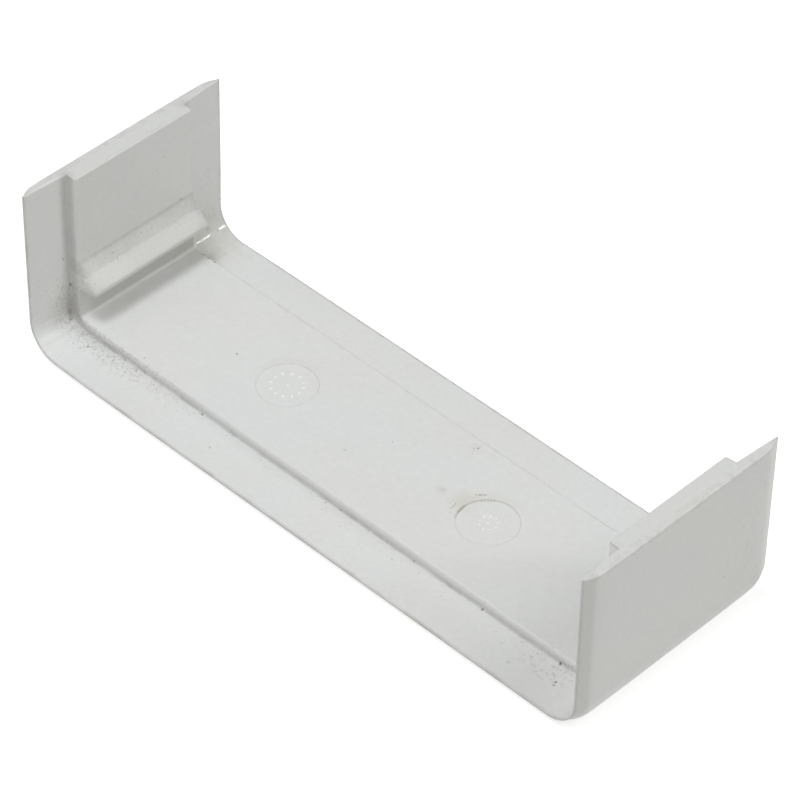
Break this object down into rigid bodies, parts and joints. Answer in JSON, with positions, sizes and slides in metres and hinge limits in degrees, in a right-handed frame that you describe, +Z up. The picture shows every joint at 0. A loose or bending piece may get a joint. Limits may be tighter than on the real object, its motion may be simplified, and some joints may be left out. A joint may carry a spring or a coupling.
{
  "type": "gutter connector",
  "caption": "U-shaped moulded plastic connector that clips over the butt joint of wall trunking, with rounded bends, a stepped inner liner, tapered rims and snap barbs.",
  "frame": {"origin": "middle of the flat underside of the base", "axes": "+X along the length from the left wall to the right wall, +Y across the width from the front rim to the rear rim, +Z up the walls towards the open side of the channel"},
  "size_m": [0.108, 0.0378, 0.0293],
  "materials": {
    "white_plastic": "off-white moulded plastic, satin, with handling grime"
  },
  "bodies": {
    "root": {"connector_body": "white_plastic"}
  },
  "joints": []
}
